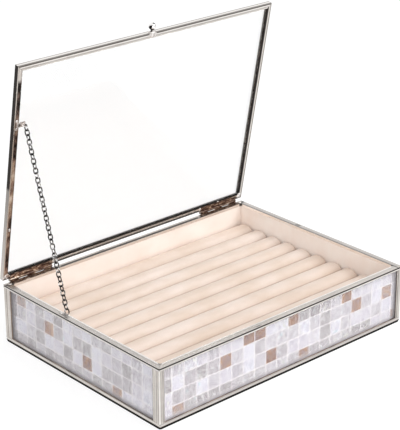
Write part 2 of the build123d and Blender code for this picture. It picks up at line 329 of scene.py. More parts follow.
# Nickel came of the case: drawn channel with fine lines along it, cut at 45 degrees and soldered at the
# corners. The recess under the rim has turned black, and the flats keep their polish. The foot's lower lip
# is painted black as contact shadow along the pad, and a faint line near the foot's top is painted shadow.
# The inner corners of the rim carry painted shadow, and the bright beads, arrises and lines are painted
# highlights. Some rails take a darker copy of the nickel as painted shade. Each line is a low and a high
# position, up from the table or in from an outer face, and its share.
NICKEL = linear(222, 216, 210)
NICKEL_PAINTED_SHADE = linear(207, 202, 198)
NICKEL_CLOUD = linear(190, 183, 177)
NICKEL_HIGHLIGHT = linear(250, 247, 244)
TARNISH_AND_SHADE = linear(32, 27, 25)
TARNISH_ROUGH = 0.55
SCRATCH = linear(146, 140, 134)
SPECK = linear(120, 110, 102)
RIM_RECESS = (0.0562, 0.0575, 1.0)
RIM_RECESS_DEEP = 0.0008
RIM_BEAD_HIGHLIGHT = (0.0550, 0.0561, 0.35)
RIM_LOW_EDGE = (0.0545, 0.0550, 0.35)
RIM_TOP_FROM = 0.0577
REAR_RIM_LINE = (0.0025, 0.0058, 0.82)
RIGHT_RIM_LINE = (0.0045, 0.0060, 0.75)
RIM_MIDDLE_LINE = (0.0028, 0.0036, 0.12)
RIM_ARRIS_HIGHLIGHT = (0.0048, 0.0070, 0.8)
FOOT_TOP_SHADOW_LINE = (0.0042, 0.0046, 0.45)
FOOT_HIGHLIGHT_LINE = (0.0028, 0.0036, 0.3)
FOOT_LIP_SHADOW = 0.0020
POST_ARRIS_HIGHLIGHT = 0.0006
POST_ARRIS_HIGHLIGHT_SHARE = 0.6
POST_FRONT_LINES = ((0.0014, 0.0022, 0.25), (0.0034, 0.0043, 0.5), (0.0050, 0.0053, 0.2))
POST_SIDE_LINES = ((0.0014, 0.0022, 0.4), (0.0036, 0.0046, 0.4), (0.0068, 0.0076, 0.2), (0.0087, 0.0091, 0.4))
MITRE_LINE = (-0.0002, 0.0002, 0.6)
CORNER_SHADOW_FROM = 0.0046
CORNER_SHADOW = (-0.0020, 0.0020, 0.85)
RIM_SCAR = ((-0.0385, -0.0325, 0.85, 0.0006), (0.0006, 0.0016))
ANCHOR_SCAR = ((0.0215, 0.0275, 0.6, 0.0008), (0.0012, 0.0040))


def stripe(tree, value, low, high, amount=1.0, soft=0.00012):
    """An amount between two positions, and nothing outside them."""
    start = spread(tree, value, low - soft, low + soft, 0.0, amount)
    return sum_of(tree, "MULTIPLY", start, spread(tree, value, high - soft, high + soft, 1.0, 0.0))


def beyond(tree, value, start, soft=0.0002):
    """Nothing up to a position, and one from a little beyond it."""
    return spread(tree, value, start, start + soft, 0.0, 1.0)


def up_to(tree, value, stop, soft=0.0002):
    """One up to a position, and nothing from a little beyond it."""
    return spread(tree, value, stop, stop + soft, 1.0, 0.0)


def masked(tree, *shares):
    """Several shares multiplied, so that each masks the others."""
    return reduce(lambda whole, share: sum_of(tree, "MULTIPLY", whole, share), shares)


def nickel_finish(name, along, darkened=None, shade=NICKEL, rough=(0.16, 0.34), over=None, pale=None):
    """Polished nickel with draw marks along a direction, faint clouding, painted highlight lines, and dark
    lines of tarnish and painted shade.
    """
    finish, tree, out = empty_finish(name)
    draw = grain(tree, place_of(tree, along), 1600.0, 2.0)
    cloud = grain(tree, place_of(tree), 60.0, 4.0, 0.6)
    speck = grain(tree, place_of(tree), 1400.0, 2.0)
    dark = darkened(tree) if darkened else 0.0
    clean = blended(tree, spread(tree, cloud, 0.35, 0.7, 0.0, 0.5), shade, NICKEL_CLOUD)
    clean = blended(tree, spread(tree, draw, 0.4, 0.7, 0.0, 0.3), clean, SCRATCH)
    clean = blended(tree, spread(tree, speck, 0.66, 0.72, 0.0, 0.5), clean, SPECK)
    if pale is not None:
        clean = blended(tree, pale(tree), clean, NICKEL_HIGHLIGHT)
    if over is not None:
        clean = over(tree, clean)
    polish = spread(tree, sum_of(tree, "ADD", cloud, draw), 0.6, 1.4, *rough)
    skin(
        tree,
        out,
        Base_Color=blended(tree, dark, clean, TARNISH_AND_SHADE),
        Metallic=1.0,
        Roughness=most(tree, polish, masked(tree, dark, TARNISH_ROUGH)),
        Normal=raised(tree, draw, 0.00003, 0.4),
    )
    return finish


def spot_of(tree):
    """A point's three coordinates."""
    return step(tree, "ShaderNodeSeparateXYZ", {0: own_place(tree)}).outputs


def reach_in(tree):
    """How far a point lies in from the case's ends, how far from its front or rear, and its coordinates."""
    spot = spot_of(tree)
    from_end = sum_of(tree, "SUBTRACT", CASE_LENGTH / 2, sum_of(tree, "ABSOLUTE", spot[0]))
    from_side = sum_of(tree, "SUBTRACT", CASE_DEPTH / 2, sum_of(tree, "ABSOLUTE", spot[1]))
    return from_end, from_side, spot


def mitre(tree):
    """Hairline where two rails meet at 45 degrees."""
    from_end, from_side, _ = reach_in(tree)
    return stripe(tree, sum_of(tree, "SUBTRACT", from_end, from_side), *MITRE_LINE)


def foot_dark(tree):
    """Black lower lip, painted as shadow where the rail meets the pad, a faint line near the top of a foot
    rail painted as shadow, and the mitre.
    """
    height = spot_of(tree)[2]
    return most(tree, mitre(tree), stripe(tree, height, *FOOT_TOP_SHADOW_LINE), up_to(tree, height, FOOT_LIP_SHADOW))


def foot_highlight(tree):
    """Painted highlight along the middle of a foot rail."""
    return stripe(tree, spot_of(tree)[2], *FOOT_HIGHLIGHT_LINE)


def top_dark(tree):
    """Black recess under the rim, its lower edge, lines on the flat top, painted shadow in the inner corners,
    and two scars.
    """
    from_end, from_side, spot = reach_in(tree)
    inside = sum_of(tree, "MINIMUM", from_end, from_side)
    recess = masked(tree, stripe(tree, spot[2], *RIM_RECESS), up_to(tree, inside, RIM_RECESS_DEEP))
    edge = stripe(tree, spot[2], *RIM_LOW_EDGE)
    rear = masked(tree, stripe(tree, from_side, *REAR_RIM_LINE), beyond(tree, spot[1], 0.0))
    right = masked(tree, stripe(tree, from_end, *RIGHT_RIM_LINE), beyond(tree, spot[0], 0.0))
    middle = stripe(tree, inside, *RIM_MIDDLE_LINE)
    flat = masked(tree, most(tree, rear, right, middle), beyond(tree, spot[2], RIM_TOP_FROM))
    apart = sum_of(tree, "SUBTRACT", from_end, from_side)
    # Painted shadow: a dark triangle where two rails meet at the inner corner of the rim.
    corner_shadow = masked(tree, stripe(tree, apart, *CORNER_SHADOW), beyond(tree, inside, CORNER_SHADOW_FROM, 0.0004))
    scar = masked(tree, stripe(tree, spot[0], *RIM_SCAR[0]), stripe(tree, from_side, *RIM_SCAR[1]))
    anchor = masked(tree, stripe(tree, spot[1], *ANCHOR_SCAR[0]), stripe(tree, from_end, *ANCHOR_SCAR[1]))
    return most(tree, mitre(tree), recess, edge, flat, corner_shadow, scar, anchor)


def top_highlights(tree):
    """Painted highlights on the bead under the rim and on the inner arris."""
    from_end, from_side, spot = reach_in(tree)
    inside = sum_of(tree, "MINIMUM", from_end, from_side)
    return most(tree, stripe(tree, spot[2], *RIM_BEAD_HIGHLIGHT), stripe(tree, inside, *RIM_ARRIS_HIGHLIGHT))


def post_dark(tree):
    """Drawn lines of a post, on the faces toward the front and rear and on those toward the sides."""
    from_end, from_side, _ = reach_in(tree)
    lines = [stripe(tree, from_end, *line) for line in POST_FRONT_LINES]
    lines += [stripe(tree, from_side, *line) for line in POST_SIDE_LINES]
    return most(tree, *lines)


def post_highlight(tree):
    """Painted highlight on the arris of both faces of a post."""
    from_end, from_side, _ = reach_in(tree)
    outer = sum_of(tree, "ADD", from_end, from_side)
    return masked(tree, POST_ARRIS_HIGHLIGHT_SHARE, up_to(tree, outer, POST_ARRIS_HIGHLIGHT, 0.0003))


# The left and right top rails and the front and rear foot rails take a darker copy of the nickel: painted
# shade for how the light falls on those sides.
for sides, along, top_shade, foot_shade in (
    (("front", "rear"), (0.02, 1.0, 1.0), NICKEL, NICKEL_PAINTED_SHADE),
    (("left", "right"), (1.0, 0.02, 1.0), NICKEL_PAINTED_SHADE, NICKEL),
):
    top = nickel_finish(f"top_rail_nickel_{sides[0]}", along, top_dark, top_shade, pale=top_highlights)
    foot = nickel_finish(f"foot_rail_nickel_{sides[0]}", along, foot_dark, foot_shade, pale=foot_highlight)
    dress(top, *(f"top_rail_{side}" for side in sides))
    dress(foot, *(f"foot_rail_{side}" for side in sides))
post_nickel = nickel_finish("corner_post_nickel", (1.0, 1.0, 0.02), post_dark, pale=post_highlight)
dress(post_nickel, *(f"corner_post_{a}_{b}" for a in ("front", "rear") for b in ("left", "right")))


# Side glass: a clear pane in the came on each side, in front of the tiles, with the light film that wiping
# leaves. A thin bead of brown glazing cement closes the came's edges on each pane.
SIDE_TURNS = {"front": 0.0, "right": pi / 2, "rear": pi, "left": -pi / 2}
GLASS_FACE = CASE_DEPTH / 2 + box_of("side_glass_front")[0].y
CEMENT_PROUD = 0.00035
CEMENT_WIDTH = 0.0006
WIDE_CEMENT = 0.0013
CEMENT_FOOT = box_of("foot_rail_front")[1].z
CEMENT_TOP = LEFT_RIM[0].z
POST_SIZE = box_of("corner_post_front_left")[1] - box_of("corner_post_front_left")[0]
LEG_REACH = {"front": POST_SIZE.x, "rear": POST_SIZE.x, "left": POST_SIZE.y, "right": POST_SIZE.y}
REAR_END = {"left": -1, "right": 1}


def pane_finish(name, tint, clear):
    """Clear glass. clear is the share of light that goes straight through without a reflection."""
    finish, tree, out = empty_finish(name)
    film = grain(tree, place_of(tree, (1.0, 1.0, 3.0)), 30.0, 4.0, 0.6)
    solid = skin(
        tree,
        out,
        Base_Color=tint,
        Roughness=spread(tree, film, 0.5, 0.8, 0.0, 0.03),
        IOR=1.5,
        Transmission_Weight=1.0,
    )
    through = step(tree, "ShaderNodeBsdfTransparent", {"Color": tint})
    both = step(tree, "ShaderNodeMixShader", {0: clear, 1: solid.outputs[0], 2: through.outputs[0]})
    tree.links.new(both.outputs[0], out.inputs["Surface"])
    return finish


def lets_lamps_through(*names):
    """Clear panes throw no shadow."""
    for name in names:
        frame["nodes"][name].visible_shadow = False


def beside(side):
    """Matrix from a side's own directions, along, up and out, with its origin at the outer face's foot."""
    away = CASE_DEPTH / 2 if side in ("front", "rear") else CASE_LENGTH / 2
    face = Matrix(((1, 0, 0, 0), (0, 0, -1, -away), (0, 1, 0, 0), (0, 0, 0, 1)))
    return Matrix.Rotation(SIDE_TURNS[side], 4, "Z") @ face


def half_of(name):
    """Half the length of a sheet or rail that runs along one side, by the side that its name ends with."""
    return box_of(name)[1].x if name.endswith(("front", "rear")) else box_of(name)[1].y


side_panes = [f"side_glass_{side}" for side in ("front", "rear", "left", "right")]
dress(pane_finish("side_pane", (0.995, 0.997, 0.997, 1.0), 0.85), *side_panes)
lets_lamps_through(*side_panes)

cement, tree, out = empty_finish("glazing_cement")
crumb = grain(tree, place_of(tree), 900.0, 3.0, 0.6)
stain = grain(tree, place_of(tree), 45.0, 3.0)
shade = blended(tree, spread(tree, stain, 0.4, 0.62, 0.0, 1.0), linear(92, 74, 68), linear(160, 138, 124))
skin(
    tree,
    out,
    Base_Color=blended(tree, spread(tree, crumb, 0.35, 0.7, 0.0, 0.4), shade, linear(60, 50, 48)),
    Roughness=spread(tree, crumb, 0.3, 0.7, 0.55, 0.8),
    Normal=raised(tree, crumb, 0.0002, 0.5),
)

beads = bmesh.new()
for side in SIDE_TURNS:
    half = half_of(f"foot_rail_{side}") - LEG_REACH[side]
    strips = [((-half, CEMENT_FOOT), (half, CEMENT_FOOT), (0, 1), CEMENT_WIDTH)]
    for end in (-1, 1):
        width = WIDE_CEMENT if REAR_END.get(side) == end else CEMENT_WIDTH
        strips.append(((end * half, CEMENT_TOP), (end * half, CEMENT_FOOT), (-end, 0), width))
    for start, stop, inward, width in strips:
        loops = []
        for along, height in (start, stop):
            corner = Vector((along, height, -GLASS_FACE))
            points = (corner, corner + Vector((0, 0, CEMENT_PROUD)), corner + Vector((*inward, 0)) * width)
            loops.append([beads.verts.new(beside(side) @ point) for point in points])
        skin_over(beads, loops)
cement_beads = piece_from("glazing_cement", beads, cement)
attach(cement_beads, "case")


# Mosaic: squares of mother-of-pearl shell set in pale grout behind each side glass, on one grid, and cut
# where the sheet ends. Every tile has its own tone and its own direction of lustre. Glints of the lustre are
# painted into the colour, and the tiles near the came are painted lighter.
TILE_PITCH = 0.0137
TILE_JOINT = 0.0009
TILE_THICKNESS = 0.00045
TILE_FACE = 0.0033
TILE_CHAMFER = 0.015
CHAMFER_SHARE = 0.1
MERGE_REACH = 0.0001
GROUT_DEEP = 0.00005
SHEET_BACK = 0.0040
SHEET_LOW = box_of("mosaic_front")[0].z
SHEET_TOP = 0.0561
FIRST_CUT = {"front": 0.01305, "rear": 0.01305, "left": 0.0119, "right": 0.0119}
SHELL_SEED = {"front": 21, "rear": 12, "left": 33, "right": 14}
SHELL_TONES = (
    (0.000, linear(126, 90, 90)),
    (0.050, linear(146, 114, 112)),
    (0.085, linear(172, 150, 150)),
    (0.110, linear(164, 152, 158)),
    (0.220, linear(188, 177, 185)),
    (0.400, linear(208, 199, 209)),
    (0.580, linear(228, 220, 233)),
    (0.820, linear(240, 235, 249)),
)
GLINT_HUES = (
    (0.32, linear(196, 240, 240)),
    (0.44, linear(252, 252, 255)),
    (0.58, linear(255, 250, 238)),
    (0.72, linear(236, 246, 206)),
)
BROWN_SHARE = 0.109
SHELL_PALE = linear(255, 253, 255)
SHELL_GOLD = linear(255, 196, 140)
SHELL_DEEP = linear(158, 146, 156)
CLOUD_SHADES = ((0.50, 0.66, 0.0, 0.75), (0.48, 0.34, 0.0, 0.55))
STREAK_SHADES = ((0.52, 0.66, 0.0, 0.6), (0.48, 0.34, 0.0, 0.5))
FINE_SHADES = ((0.52, 0.62, 0.0, 0.75), (0.47, 0.36, 0.0, 0.55))
GLINT_PATCHES = (0.44, 0.62, 0.12, 1.0)
GLINT_LUSTRE = (0.1, 0.8, 0.35, 1.0)
GLINT_SPOTS = (0.56, 0.62, 0.0, 1.0)
GLINT_ON_BROWN = 0.35
SIDE_SHEET_WITHIN = (0.0042, 0.0046)
CAME_PAINTED_LIGHT = (0.0, 0.0045, 0.85, 0.0)
CAME_PAINTED_LIGHT_COLOUR = linear(255, 250, 254)


def way_in(tree, name, kind):
    """Named input of a geometry tree: what a modifier calls it."""
    return tree.interface.new_socket(name=name, in_out="INPUT", socket_type=kind).identifier


def vector_of(tree, operation, *terms):
    """Result of one Vector Math node on the given terms."""
    return step(tree, "ShaderNodeVectorMath", dict(enumerate(terms)), operation=operation).outputs[0]


def scaled(tree, vector, factor):
    """A vector times a number."""
    return step(tree, "ShaderNodeVectorMath", {0: vector, "Scale": factor}, operation="SCALE").outputs[0]


def flat_vector(tree, across, upward):
    """Vector in the plane, from its two sizes."""
    return step(tree, "ShaderNodeCombineXYZ", {0: across, 1: upward}).outputs[0]


def geometry_tree(name, inputs):
    """New geometry tree: it, what feeds it, and what a modifier calls each named input."""
    made = bpy.data.node_groups.new(name, "GeometryNodeTree")
    made.is_modifier = True
    way_in(made, "Geometry", "NodeSocketGeometry")
    made.interface.new_socket(name="Geometry", in_out="OUTPUT", socket_type="NodeSocketGeometry")
    sockets = {key: way_in(made, key, f"NodeSocket{kind}") for key, kind in inputs.items()}
    return made, step(made, "NodeGroupInput").outputs, sockets


def grown(name, tree, sockets, values):
    """Piece made by a geometry tree, as a plain mesh."""
    piece = bpy.data.objects.new(name, bpy.data.meshes.new(name))
    scene.collection.objects.link(piece)
    rule = piece.modifiers.new("rule", "NODES")
    rule.node_group = tree
    for key, value in values.items():
        rule[sockets[key]] = value
    graph = bpy.context.evaluated_depsgraph_get()
    shown = piece.evaluated_get(graph)
    done = bpy.data.meshes.new_from_object(shown, preserve_all_data_layers=True, depsgraph=graph)
    piece.modifiers.clear()
    piece.data = done
    done.name = name
    return piece


TILE_INPUTS = {
    "Columns": "Int",
    "Rows": "Int",
    "Pitch": "Float",
    "Joint": "Float",
    "Thickness": "Float",
    "Grid corner": "Vector",
    "Sheet low": "Vector",
    "Sheet high": "Vector",
    "Seed": "Int",
    "Shell": "Material",
}
t, given, tile_sockets = geometry_tree("tile_sheet", TILE_INPUTS)
gaps = [sum_of(t, "SUBTRACT", given[key], 1.0) for key in ("Columns", "Rows")]
wide, tall = (sum_of(t, "MULTIPLY", count, given["Pitch"]) for count in gaps)
feeds = {"Size X": wide, "Size Y": tall, "Vertices X": given["Columns"], "Vertices Y": given["Rows"]}
grid = step(t, "GeometryNodeMeshGrid", feeds)
points = step(t, "GeometryNodeMeshToPoints", {"Mesh": grid.outputs["Mesh"]})
half_grid = scaled(t, flat_vector(t, wide, tall), 0.5)
half_pitch = scaled(t, flat_vector(t, given["Pitch"], given["Pitch"]), 0.5)
spot = vector_of(t, "ADD", step(t, "GeometryNodeInputPosition").outputs[0], half_grid)
centre = vector_of(t, "ADD", vector_of(t, "ADD", spot, half_pitch), given["Grid corner"])
tile_size = sum_of(t, "SUBTRACT", given["Pitch"], given["Joint"])
half_tile = scaled(t, flat_vector(t, tile_size, tile_size), 0.5)
low = vector_of(t, "MAXIMUM", vector_of(t, "SUBTRACT", centre, half_tile), given["Sheet low"])
high = vector_of(t, "MINIMUM", vector_of(t, "ADD", centre, half_tile), given["Sheet high"])
middle = scaled(t, vector_of(t, "ADD", low, high), 0.5)
extent = step(t, "ShaderNodeSeparateXYZ", {0: vector_of(t, "SUBTRACT", high, low)}).outputs
foot = step(t, "GeometryNodeMeshGrid", {"Size X": 1.0, "Size Y": 1.0, "Vertices X": 2, "Vertices Y": 2})
under = step(t, "GeometryNodeFlipFaces", {"Mesh": foot.outputs["Mesh"]})
block, top_faces = foot.outputs["Mesh"], True
for share in (1.0 - CHAMFER_SHARE, CHAMFER_SHARE):
    feeds = {"Mesh": block, "Selection": top_faces, "Offset": (0.0, 0.0, 1.0), "Offset Scale": share}
    feeds["Individual"] = False
    pushed = step(t, "GeometryNodeExtrudeMesh", feeds, mode="FACES").outputs
    block, top_faces = pushed["Mesh"], pushed["Top"]
feeds = {"Geometry": block, "Selection": top_faces, "Scale": 1.0 - 2 * TILE_CHAMFER}
eased = step(t, "GeometryNodeScaleElements", feeds)
closed = step(t, "GeometryNodeJoinGeometry")
t.links.new(under.outputs[0], closed.inputs[0])
t.links.new(eased.outputs[0], closed.inputs[0])
closed = step(t, "GeometryNodeMergeByDistance", {"Geometry": closed.outputs[0], "Distance": MERGE_REACH})
on_tile = step(t, "GeometryNodeInputPosition").outputs[0]
feeds = {"Geometry": closed.outputs[0], "Name": "shell_place", "Value": on_tile}
local = step(t, "GeometryNodeStoreNamedAttribute", feeds, data_type="FLOAT_VECTOR", domain="POINT")
size = step(t, "ShaderNodeCombineXYZ", {0: extent[0], 1: extent[1], 2: given["Thickness"]})
feeds = {"Points": points.outputs[0], "Instance": local.outputs[0], "Scale": size.outputs[0]}
tiles = step(t, "GeometryNodeInstanceOnPoints", feeds)
drawn = step(t, "GeometryNodeSetPosition", {"Geometry": tiles.outputs[0], "Position": middle}).outputs[0]
for number, name in enumerate(("shell_tone", "shell_turn", "shell_lustre")):
    seed = sum_of(t, "ADD", given["Seed"], 100.0 * number)
    chance = step(t, "FunctionNodeRandomValue", {"Seed": seed}, data_type="FLOAT")
    chance = next(o for o in chance.outputs if o.enabled and o.type == "VALUE")
    feeds = {"Geometry": drawn, "Name": name, "Value": chance}
    drawn = step(t, "GeometryNodeStoreNamedAttribute", feeds, data_type="FLOAT", domain="INSTANCE").outputs[0]
real = step(t, "GeometryNodeRealizeInstances", {"Geometry": drawn})
coated = step(t, "GeometryNodeSetMaterial", {"Geometry": real.outputs[0], "Material": given["Shell"]})
step(t, "NodeGroupOutput", {0: coated.outputs[0]})


def own(tree, name, kind="Fac"):
    """A piece's own attribute, by name."""
    return step(tree, "ShaderNodeAttribute", attribute_name=name).outputs[kind]


def shades_by(tree, value, shades, how="LINEAR"):
    """Colour from a row of shades, each with the value where it starts."""
    ramp = step(tree, "ShaderNodeValToRGB", {"Fac": value})
    ramp.color_ramp.interpolation = how
    for number, (start, shade) in enumerate(shades):
        stop = ramp.color_ramp.elements[number] if number < 2 else ramp.color_ramp.elements.new(start)
        stop.position = start
        stop.color = shade
    return ramp.outputs["Color"]


def block_of(half, low, top, back, face):
    """Flat block of one side, in the side's own directions, with its middle halfway along."""
    block = bmesh.new()
    bmesh.ops.create_cube(block, size=1.0)
    bmesh.ops.scale(block, vec=(2 * half, top - low, face - back), verts=block.verts)
    bmesh.ops.translate(block, vec=(0.0, (top + low) / 2, (face + back) / 2), verts=block.verts)
    return block


shell, tree, out = empty_finish("mother_of_pearl")
tone = own(tree, "shell_tone")
lustre = own(tree, "shell_lustre")
turn_share = own(tree, "shell_turn")
tile_spot = scaled(tree, own(tree, "shell_place", "Vector"), TILE_PITCH)
tone_shift = sum_of(tree, "MULTIPLY", tone, 7.0)
lustre_shift = sum_of(tree, "MULTIPLY", lustre, 9.0)
apart = step(tree, "ShaderNodeCombineXYZ", {0: tone_shift, 1: lustre_shift, 2: turn_share}).outputs[0]
feeds = {"Vector": tile_spot, "Axis": (0.0, 0.0, 1.0), "Angle": sum_of(tree, "MULTIPLY", turn_share, 2 * pi)}
turned = step(tree, "ShaderNodeVectorRotate", feeds, rotation_type="AXIS_ANGLE").outputs[0]
nacre = vector_of(tree, "ADD", turned, apart)
fibre = step(tree, "ShaderNodeMapping", {"Vector": nacre, "Scale": (1.0, 4.0, 1.0)}).outputs[0]
upright_place = place_of(tree, (1.0, 1.0, 0.32))
clouds = grain(tree, fibre, 120.0, 4.0, 0.62, 1.2)
streaks = grain(tree, fibre, 330.0, 4.0, 0.65, 0.8)
sparks = grain(tree, upright_place, 360.0, 3.0, 0.6, 1.8)
grazed = grain(tree, upright_place, 24.0, 3.0, 0.6, 0.6)
fine = grain(tree, upright_place, 420.0, 3.0, 0.65, 1.0)
body = shades_by(tree, tone, SHELL_TONES, "CONSTANT")
is_brown = spread(tree, tone, BROWN_SHARE, BROWN_SHARE + 0.001, 1.0, 0.0)
pale = blended(tree, 0.8, body, SHELL_PALE)
gold = blended(tree, 0.6, body, SHELL_GOLD)
lit = blended(tree, is_brown, pale, gold)
deep = blended(tree, 0.5, body, SHELL_DEEP)
for pattern, (brighter, darker) in ((clouds, CLOUD_SHADES), (streaks, STREAK_SHADES), (fine, FINE_SHADES)):
    body = blended(tree, spread(tree, pattern, *brighter), body, lit)
    body = blended(tree, spread(tree, pattern, *darker), body, deep)
# Painted glints: white, cyan, warm and yellow-green sparkles of the lustre, painted into the colour in
# clusters, fewer on brown tiles.
crowd = masked(tree, spread(tree, grazed, *GLINT_PATCHES), spread(tree, lustre, *GLINT_LUSTRE))
on_brown = spread(tree, is_brown, 0.0, 1.0, 1.0, GLINT_ON_BROWN)
glint = masked(tree, spread(tree, sparks, *GLINT_SPOTS), crowd, on_brown)
hue = shades_by(tree, grain(tree, nacre, 160.0, 2.0), GLINT_HUES)
# Painted light: tiles close to the posts and the foot rail are lightened toward a pale colour, most at the
# came and none from 4.5 mm away.
from_end, from_side, spot = reach_in(tree)
post_reach = spread(tree, from_end, *SIDE_SHEET_WITHIN, LEG_REACH["left"], LEG_REACH["front"])
from_post = sum_of(tree, "SUBTRACT", most(tree, from_end, from_side), post_reach)
from_came = sum_of(tree, "MINIMUM", from_post, sum_of(tree, "SUBTRACT", spot[2], CEMENT_FOOT))
body = blended(tree, spread(tree, from_came, *CAME_PAINTED_LIGHT), body, CAME_PAINTED_LIGHT_COLOUR)
skin(
    tree,
    out,
    Base_Color=blended(tree, glint, body, hue),
    Roughness=spread(tree, clouds, 0.3, 0.7, 0.4, 0.22),
    Coat_Weight=0.4,
    Coat_Roughness=0.12,
    Normal=raised(tree, streaks, 0.0002, 0.3, raised(tree, clouds, 0.0004, 0.3)),
)

grout, tree, out = empty_finish("tile_grout")
dust = grain(tree, place_of(tree), 800.0)
skin(
    tree,
    out,
    Base_Color=blended(tree, dust, linear(255, 246, 248), linear(255, 252, 253)),
    Roughness=spread(tree, dust, 0.3, 0.7, 0.7, 0.9),
    Normal=raised(tree, dust, 0.0001, 0.4),
)

for side in SIDE_TURNS:
    half = half_of(f"mosaic_{side}")
    columns = ceil((2 * half - FIRST_CUT[side]) / TILE_PITCH) + 1
    rows = ceil((SHEET_TOP - SHEET_LOW) / TILE_PITCH)
    corner = (FIRST_CUT[side] - TILE_PITCH - half, SHEET_TOP - rows * TILE_PITCH, 0.0)
    values = {
        "Columns": columns,
        "Rows": rows,
        "Pitch": TILE_PITCH,
        "Joint": TILE_JOINT,
        "Thickness": TILE_THICKNESS,
        "Grid corner": corner,
        "Sheet low": (-half, SHEET_LOW, 0.0),
        "Sheet high": (half, SHEET_TOP, 0.0),
        "Seed": SHELL_SEED[side],
        "Shell": shell,
    }
    place = beside(side)
    squares = grown(f"shell_tiles_{side}", t, tile_sockets, values)
    squares.data.transform(place @ Matrix.Translation((0, 0, -TILE_FACE - TILE_THICKNESS)))
    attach(squares, "case")
    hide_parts(f"mosaic_{side}")
    bed = block_of(half, SHEET_LOW, SHEET_TOP, -SHEET_BACK, -TILE_FACE - GROUT_DEEP)
    bmesh.ops.transform(bed, matrix=place, verts=bed.verts)
    grout_bed = piece_from(f"tile_grout_{side}", bed, grout)
    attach(grout_bed, "case")


# Velvet walls: card wrapped in peach velvet, glued to the back of each mosaic, with the edges turned over
# softly and a seam where two walls meet. The walls' copy of the velvet is painted lighter than the rolls',
# as painted light for the walls, which stand in less light.
WALL_FACE = CASE_DEPTH / 2 + box_of("liner_front")[1].y
WALL_THICKNESS = 0.0013
WALL_LOW = box_of("liner_front")[0].z
WALL_TOP = box_of("liner_front")[1].z
WALL_EDGE = 0.0005
WALL_SHADES_PAINTED_LIGHTER = (linear(255, 247, 240), linear(250, 237, 228))
# Painted brown shade for the creases between the rolls.
CREASE_PAINTED_SHADE = linear(150, 112, 86)


def velvet_finish(name, light, deep, nap_size, crease_shade=None):
    """Short velvet: a fine nap, lighter where the pile leans away, with a soft sheen, and painted brown shade
    in creases.
    """
    finish, tree, out = empty_finish(name)
    pile = grain(tree, place_of(tree), nap_size, 3.0, 0.6)
    brushed = grain(tree, place_of(tree, (1.0, 2.2, 1.4)), 26.0, 3.0, 0.5)
    tufts = grain(tree, place_of(tree), 6000.0, 2.0)
    shade = blended(tree, spread(tree, brushed, 0.35, 0.68, 0.0, 1.0), deep, light)
    shade = blended(tree, spread(tree, pile, 0.35, 0.65, 0.25, 0.0), shade, deep)
    if crease_shade is not None:
        shade = blended(tree, crease_shade(tree), shade, CREASE_PAINTED_SHADE)
    skin(
        tree,
        out,
        Base_Color=shade,
        Roughness=spread(tree, pile, 0.3, 0.7, 0.8, 0.95),
        Specular_IOR_Level=0.15,
        Sheen_Weight=0.15,
        Sheen_Roughness=0.45,
        Normal=raised(tree, tufts, 0.00015, 0.5, raised(tree, pile, 0.0003, 0.35)),
    )
    return finish


wall_velvet = velvet_finish("wall_velvet", *WALL_SHADES_PAINTED_LIGHTER, 1500.0)
for side in SIDE_TURNS:
    wall = block_of(half_of(f"liner_{side}"), WALL_LOW, WALL_TOP, -WALL_FACE, WALL_THICKNESS - WALL_FACE)
    bmesh.ops.bevel(wall, geom=wall.edges[:], offset=WALL_EDGE, segments=3, affect="EDGES", profile=0.5)
    bmesh.ops.transform(wall, matrix=beside(side), verts=wall.verts)
    panel = smooth_turns(piece_from(f"velvet_wall_{side}", wall, wall_velvet))
    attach(panel, "case")
    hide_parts(f"liner_{side}")


# Ring rolls: ten foam bars wrapped in the same velvet, side by side from front to rear, in a copy painted
# darker than the walls' as painted shade. The crown is full, the foot is drawn in, the cloth is tucked in at
# both ends, and the creases between the bars carry painted brown shade.
ROLL_COUNT = 10
ROLL_HALF_LENGTH = 0.1442
ROLL_FOOT = box_of("ring_roll_01")[0].z
ROLL_TOP = 0.0379
ROLL_HALF = 0.01030
ROLL_DRAW = 0.0008
ROLL_PITCH = box_of("ring_roll_02")[0].y - box_of("ring_roll_01")[0].y
ROLL_END_ROUND = 0.0034
ROLL_END_STEPS = 6
ROLL_SPANS = 96
ROLL_WAVE = 0.00014
ROLL_WAVE_SCALE = Vector((70.0, 60.0, 60.0))
ROLL_WAVE_STEP = 13.7
ROLL_PLEATS = 0.00012
ROLL_PLEAT_REACH = 0.009
ROLL_PLEAT_WAVES = (2700.0, 1440.0)
ROLL_FULLNESS = 2.35
FOOT_ROUND = 0.0016
FOOT_STEPS = 4
SIDE_STEPS = 8
CROWN_STEPS = 24
FOOT_LEVEL = 1e-6
CREASE_SHADE_HEIGHT = (0.0310, 0.0338)
# The rolls' copy of the velvet, painted darker than the walls' as painted shade for the light on their tops.
ROLL_SHADES_PAINTED_DARKER = (linear(243, 228, 218), linear(230, 211, 196))


def roll_crease_shade(tree):
    """Painted brown shade low in the creases, where two rolls press together."""
    return spread(tree, spot_of(tree)[2], *CREASE_SHADE_HEIGHT, 1.0, 0.0)


def roll_profile():
    """Section of a roll, across and up from the middle of its foot, from the right foot round to the left."""
    height = ROLL_TOP - ROLL_FOOT
    shoulder = height - ROLL_HALF
    foot_half = ROLL_HALF - ROLL_DRAW
    points = []
    for i in range(FOOT_STEPS + 1):
        a = -pi / 2 + (pi / 2) * i / FOOT_STEPS
        points.append((foot_half - FOOT_ROUND + FOOT_ROUND * cos(a), FOOT_ROUND + FOOT_ROUND * sin(a)))
    for i in range(1, SIDE_STEPS):
        share = i / SIDE_STEPS
        across = foot_half + (ROLL_HALF - foot_half) * sin(share * pi / 2)
        points.append((across, FOOT_ROUND + (shoulder - FOOT_ROUND) * share))
    sides = [(-x, z) for x, z in reversed(points)]
    for i in range(CROWN_STEPS + 1):
        a = pi * i / CROWN_STEPS
        squash = (abs(cos(a)) ** ROLL_FULLNESS + abs(sin(a)) ** ROLL_FULLNESS) ** (-1 / ROLL_FULLNESS)
        points.append((ROLL_HALF * cos(a) * squash, shoulder + ROLL_HALF * sin(a) * squash))
    return points + sides


